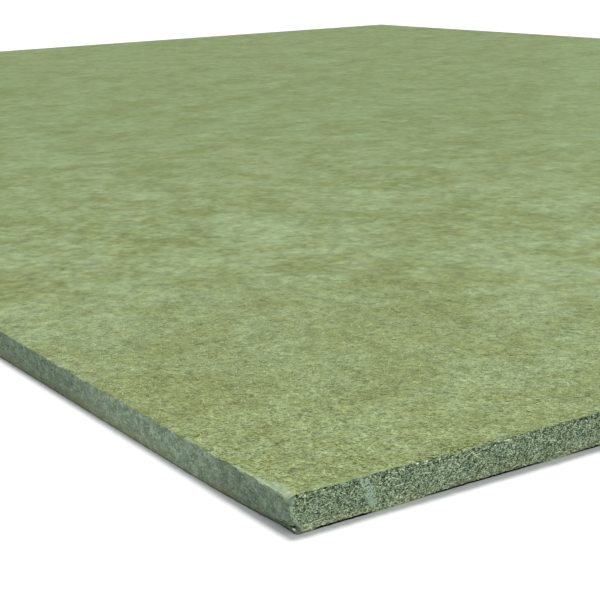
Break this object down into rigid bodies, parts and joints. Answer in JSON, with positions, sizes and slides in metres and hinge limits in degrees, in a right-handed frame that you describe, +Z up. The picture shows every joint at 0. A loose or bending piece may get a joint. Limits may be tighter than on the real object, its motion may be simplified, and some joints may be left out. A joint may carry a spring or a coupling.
{
  "type": "floor levelling fibreboard",
  "caption": "Thin flat sheet of green-dyed softboard pressed from wood fibre, laid under a floating floor to level small unevenness and damp footfall.",
  "frame": {"origin": "middle of the underside, on the surface the sheet lies on", "axes": "+X along the long sides, +Y along the short sides, +Z up out of the top face"},
  "size_m": [0.79, 0.59, 0.0055],
  "materials": {
    "fibreboard": "matte"
  },
  "bodies": {
    "root": {"board": "fibreboard"}
  },
  "joints": []
}
